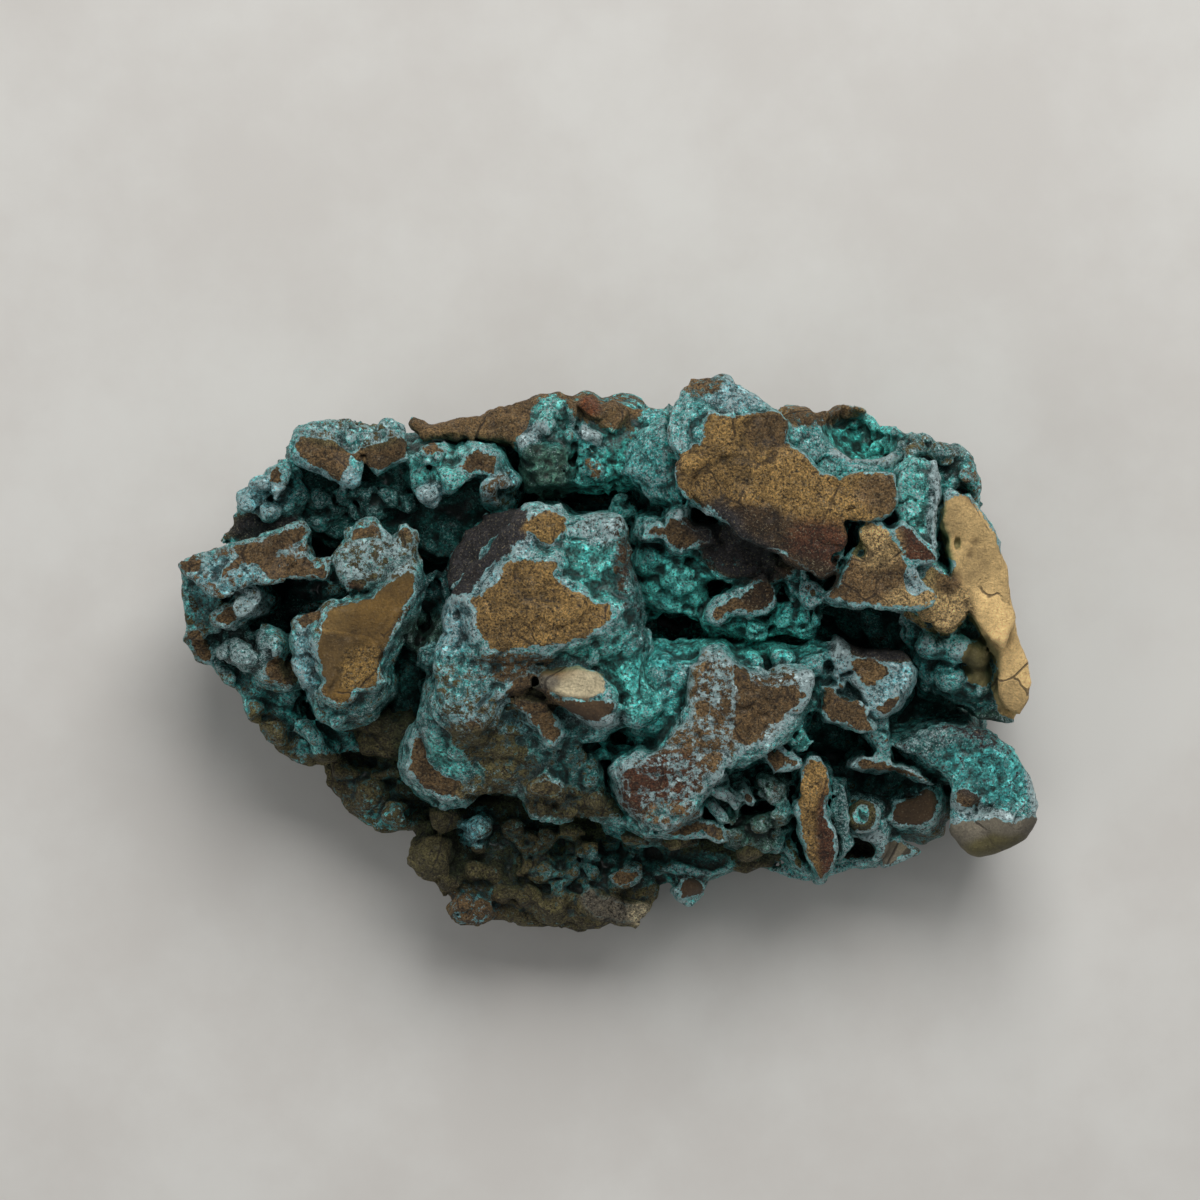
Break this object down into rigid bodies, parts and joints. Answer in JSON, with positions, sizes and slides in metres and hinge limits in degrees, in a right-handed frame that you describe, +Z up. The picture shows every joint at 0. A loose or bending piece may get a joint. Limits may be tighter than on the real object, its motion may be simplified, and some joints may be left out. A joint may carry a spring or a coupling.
{
  "type": "chrysocolla specimen",
  "caption": "Loose hand specimen of boxwork rock: brown blocks and ledges under a turquoise crust, with beaded hollows and a flat underside to rest on.",
  "frame": {"origin": "on the flat underside, under the middle of the rock", "axes": "+Z up out of the resting face, +X along the rock's length towards its overhanging arm, +Y towards its high back corner"},
  "size_m": [0.0871, 0.0558, 0.0377],
  "materials": {
    "stone": "rough mineral: brown stone under a turquoise chrysocolla crust"
  },
  "bodies": {
    "root": {"chrysocolla_specimen": "stone"}
  },
  "joints": []
}
